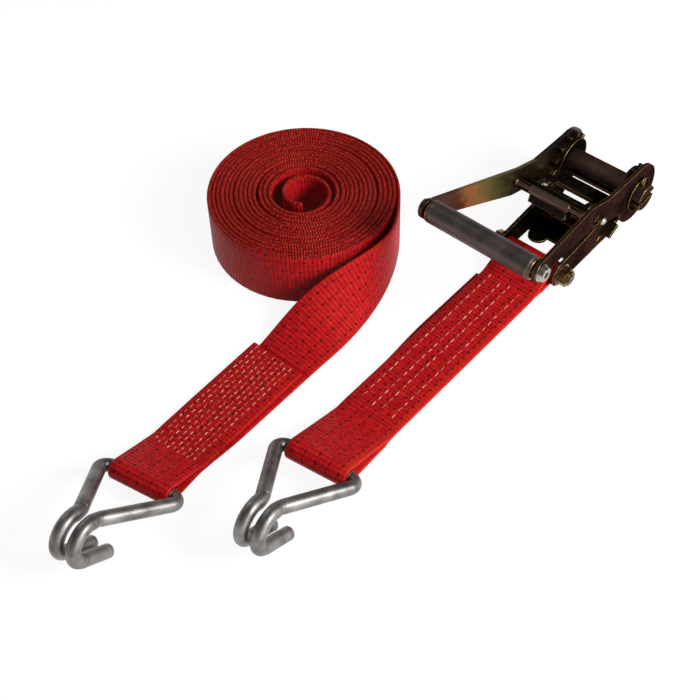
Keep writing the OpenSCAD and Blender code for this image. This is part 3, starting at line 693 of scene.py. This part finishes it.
short, short_top = short_strip()
long = long_strip()
long_run = run_length(long[0])
roll_from = long_run[-int((ROLL_TURNS + CORE_TURN) * ROLL_STEPS)]
NO_ROLL = 1e6
for name, strip, nodes in (
    ("short_strap", short, ["short_webbing"]),
    ("long_strap", long, ["long_webbing_eye", "long_webbing_tail", "long_webbing_roll"]),
):
    is_long = name == "long_strap"
    edges_from = roll_from if is_long else NO_ROLL
    mat = webbing_material("webbing_" + name, edges_from, 0.0 if is_long else 1.0)
    strap = make_band(name, *strip, mat)
    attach(strap, name)
    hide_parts(*nodes)


# Sewing: rows of stitches that dip into the webbing at both ends, sunk deeper on the underside
THREAD_R, STITCH_RISE, STITCH_DIP, UNDER_SINK = 0.48, 0.55, 0.25, 0.69


def make_stitches(name, body, places):
    verts, faces = [], []
    rings, sides = 5, 6
    for p, along, across, up, length in places:
        start = len(verts)
        for i in range(rings):
            t = i / (rings - 1)
            r = THREAD_R * (0.55 + 0.45 * math.sin(math.pi * t))
            rise = STITCH_RISE * math.sin(math.pi * t) - STITCH_DIP
            c = p + along * (t - 0.5) * length + up * rise
            for j in range(sides):
                a = 2 * math.pi * j / sides
                verts.append(c + across * r * math.cos(a) + up * r * 0.8 * math.sin(a))
        faces += [tuple(start + k for k in f) for f in ring_faces(rings, sides)]
    obj = make_object(name, verts, faces, thread_mat)
    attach(obj, body)
    return obj


def stitch_places(strip, rows, start, stop, pitch, length, seed):
    centre, across, normal = strip[:3]
    rng = np.random.default_rng(seed)
    run = run_length(centre)
    places = []
    for k, v in enumerate(rows):
        s = start + pitch * (0.5 if k % 2 else 0.0)
        while s < stop:
            at = s + rng.uniform(-0.5, 0.5)
            c = np.array([np.interp(at, run, centre[:, i]) for i in range(3)])
            ac = unit(np.array([np.interp(at, run, across[:, i]) for i in range(3)]))
            no = unit(np.array([np.interp(at, run, normal[:, i]) for i in range(3)]))
            tan = unit(np.cross(no, ac))
            tilt = rng.uniform(-0.12, 0.12)
            along = unit(tan + ac * tilt)
            up = no if no[2] > 0 else -no
            aside = v + rng.uniform(-0.25, 0.25)
            places.append((c + ac * aside + up * WEB_T / 2, along, ac, up, length))
            places.append((c + ac * v - up * (1.5 * WEB_T - UNDER_SINK), along, ac, -up, length))
            s += pitch
    return places


SHORT_ROWS = (16.5, 5.0, -2.5, -13.5)
LONG_ROWS = [19.5 - 4.4 * i for i in range(9)]
stitching = {
    "short_strap": make_stitches(
        "short_stitching",
        "short_strap",
        stitch_places(short, SHORT_ROWS, short_top, short_top + 160.0, 7.4, 5.2, 3),
    ),
    "long_strap": make_stitches(
        "long_stitching",
        "long_strap",
        stitch_places(long, LONG_ROWS, 3.0, 116.0, 6.0, 4.0, 5),
    ),
}


# Coil springs behind the pawls
def make_spring(name, u0, u1, y, tilt, body):
    wire, coil, turns, steps, sides = 0.5, 2.5, 6, 24, 8
    n = turns * steps + 1
    length = u1 - u0 - 2 * wire
    points = []
    for i in range(n):
        a = 2 * math.pi * i / steps
        for j in range(sides):
            b = 2 * math.pi * j / sides
            r = coil + wire * math.cos(b)
            x = -u0 - wire - length * i / (n - 1) + wire * math.sin(b)
            points.append((x, y + r * math.cos(a), -PAWL_OFF + r * math.sin(a)))
    obj = make_object(name, in_ratchet(points, tilt), ring_faces(n, sides), spring_mat)
    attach(obj, body)
    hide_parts(name.replace("_coil", ""))
    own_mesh(obj)


for side, sign in (("left", 1), ("right", -1)):
    make_spring(
        f"lock_spring_{side}_coil",
        LOCK_TIP + 14.3,
        LOCK_TIP + 27.2,
        14.0 * sign,
        -LOCK_SLOPE,
        "frame",
    )
    make_spring(
        f"drive_spring_{side}_coil",
        DRIVE_TIP + 18.3,
        60.7,
        22.5 * sign,
        HANDLE_RAISE,
        "handle",
    )


# Grip sleeve with lengthwise flutes and a bright ring at each end
FLUTES, FLUTE_DEEP, BORE_R = 10, 0.22, 4.05


def make_grip():
    half = GRIP_HALF - HANDLE_T - 1.2
    r = GRIP_D / 2
    sides = 96
    ring = [(half, r - 1.9), (half - 0.3, r - 0.4), (half - 1.4, r - 0.35), (half - 1.8, r - 0.8)]
    end = ring + [(half - 2.2, r), (half - 5, r)]
    stations = [(-y, base) for y, base in end] + [(0, r)] + end[::-1]
    verts = []
    for y, base in stations:
        deep = FLUTE_DEEP if abs(y) < half - 4 else 0.0
        for j in range(sides):
            a = 2 * math.pi * j / sides
            flute = max(0.0, math.cos(FLUTES * a)) ** 4
            rr = base - deep * flute
            verts.append((-HANDLE_LEN + rr * math.cos(a), y, rr * math.sin(a)))
    # Bore for the bolt
    n = len(stations)
    inner = []
    for y in (stations[-1][0], stations[0][0]):
        for j in range(sides):
            a = 2 * math.pi * j / sides
            inner.append((-HANDLE_LEN + BORE_R * math.cos(a), y, BORE_R * math.sin(a)))
    faces = ring_faces(n + 2, sides, True)
    faces = [tuple(reversed(f)) for f in faces]
    obj = make_object("grip_sleeve", in_ratchet(verts + inner, HANDLE_RAISE), faces, grip_mat)
    obj.data.materials.append(ring_mat)
    for poly in obj.data.polygons:
        row = poly.index // sides
        if row < 3 or n - 4 <= row < n - 1:
            poly.material_index = 1
    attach(obj, "handle")
    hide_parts("grip_tube")


make_grip()


# Bright rivet heads, flat on the inner side and crowned on the outer one
def make_rivet(name, place, radius, height, out, body):
    sides = 20
    profile = [(0.0, 0.35), (0.0, 0.96), (0.06, 1.0), (0.3, 0.97)]
    profile += [(0.55, 0.85), (0.8, 0.62), (0.95, 0.32), (1.0, 0.08)]
    verts = []
    for rise, wide in profile:
        for j in range(sides):
            a = 2 * math.pi * j / sides * out
            x = place[0] + radius * wide * math.cos(a)
            z = place[2] + radius * wide * math.sin(a)
            verts.append((x, place[1] + out * height * rise, z))
    faces = ring_faces(len(profile), sides)
    obj = make_object(name, in_ratchet(verts, HANDLE_RAISE), faces, bolt_mat)
    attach(obj, body)


for side, sign in (("left", 1), ("right", -1)):
    rod_end = (-FINGER_U, FINGER_Y * sign, FINGER_W)
    make_rivet(f"finger_end_{side}", rod_end, 2.2, 2.6, sign, "drive_pawl")
    ear = (-EAR_U, EAR_Y * sign, -PAWL_OFF)
    make_rivet(f"pawl_end_{side}", ear, 3.2, 3.0, sign, "drive_pawl")


# Stage: light of the surroundings, how white they look, and the heights between which that fades
SKY, SKY_SEEN, SKY_FADE = 0.13, 0.92, (0.05, 0.25)
# Floor: its tone as a reflector, as a screen for shadows and as a pane, its half width and height
FLOOR_PAINT, FLOOR_SHADE, FLOOR_CLEAR = 0.75, 0.16, 0.98
FLOOR_HALF, FLOOR_Z = 4000.0, -0.05


def make_stage():
    m = Nodes("floor_white")
    path = m.new("ShaderNodeLightPath")
    # What a joint swings below the floor stays in sight, so the floor lets those rays through
    seen = path.outputs["Is Camera Ray"]
    for ray in ("Is Glossy Ray", "Is Transmission Ray", "Is Shadow Ray"):
        seen = m.math("MAXIMUM", seen, path.outputs[ray])
    paint = m.new("ShaderNodeBsdfDiffuse")
    paint.inputs["Color"].default_value = rgb(*[FLOOR_PAINT] * 3)
    faint = m.new("ShaderNodeBsdfDiffuse")
    faint.inputs["Color"].default_value = rgb(*[FLOOR_SHADE] * 3)
    clear = m.new("ShaderNodeBsdfTransparent")
    clear.inputs["Color"].default_value = rgb(*[FLOOR_CLEAR] * 3)
    add = m.new("ShaderNodeAddShader")
    m.link(faint.outputs[0], add.inputs[0])
    m.link(clear.outputs[0], add.inputs[1])
    mix = m.new("ShaderNodeMixShader")
    m.link(seen, mix.inputs[0])
    m.link(paint.outputs[0], mix.inputs[1])
    m.link(add.outputs[0], mix.inputs[2])
    m.link(mix.outputs[0], m.out.inputs["Surface"])
    s, z = FLOOR_HALF, FLOOR_Z
    corners = [(-s, -s, z), (s, -s, z), (s, s, z), (-s, s, z)]
    floor = make_object("floor", corners, [(0, 1, 2, 3)], m.mat)
    world = bpy.data.worlds.new("studio")
    world.use_nodes = True
    bpy.context.scene.world = world
    tree = world.node_tree
    tree.nodes.clear()
    out = tree.nodes.new("ShaderNodeOutputWorld")
    soft = tree.nodes.new("ShaderNodeBackground")
    soft.inputs[0].default_value = rgb(1, 1, 1)
    soft.inputs[1].default_value = SKY
    # Seen directly or in metal, the surroundings are white above the floor and dim higher up
    shown = tree.nodes.new("ShaderNodeBackground")
    shown.inputs[0].default_value = rgb(1, 1, 1)
    way = tree.nodes.new("ShaderNodeSeparateXYZ")
    tree.links.new(tree.nodes.new("ShaderNodeTexCoord").outputs["Generated"], way.inputs[0])
    fade = tree.nodes.new("ShaderNodeMapRange")
    tree.links.new(way.outputs[2], fade.inputs["Value"])
    limits = {"From Min": SKY_FADE[0], "From Max": SKY_FADE[1], "To Min": SKY_SEEN, "To Max": SKY}
    for socket, value in limits.items():
        fade.inputs[socket].default_value = value
    tree.links.new(fade.outputs[0], shown.inputs[1])
    path = tree.nodes.new("ShaderNodeLightPath")
    seen = path.outputs["Is Camera Ray"]
    for ray in ("Is Glossy Ray", "Is Transmission Ray"):
        either = tree.nodes.new("ShaderNodeMath")
        either.operation = "MAXIMUM"
        tree.links.new(seen, either.inputs[0])
        tree.links.new(path.outputs[ray], either.inputs[1])
        seen = either.outputs[0]
    mix = tree.nodes.new("ShaderNodeMixShader")
    tree.links.new(seen, mix.inputs[0])
    tree.links.new(soft.outputs[0], mix.inputs[1])
    tree.links.new(shown.outputs[0], mix.inputs[2])
    tree.links.new(mix.outputs[0], out.inputs[0])


def area_light(name, place, target, size, power):
    data = bpy.data.lights.new(name, "AREA")
    data.shape = "SQUARE"
    data.size = size
    data.energy = power
    obj = bpy.data.objects.new(name, data)
    bpy.context.scene.collection.objects.link(obj)
    obj.location = place
    obj.rotation_euler = (Vector(target) - Vector(place)).to_track_quat("-Z", "Y").to_euler()


make_stage()
area_light("key", (0.3, -1.15, 0.85), (0, 0, 0), 0.5, 22)
area_light("front", (-0.4, -1.4, 0.45), (0, 0, 0), 1.2, 7.5)
area_light("back", (0.2, 1.1, 1.0), (0, 0, 0), 0.6, 3)

bpy.context.scene.view_settings.view_transform = "Standard"
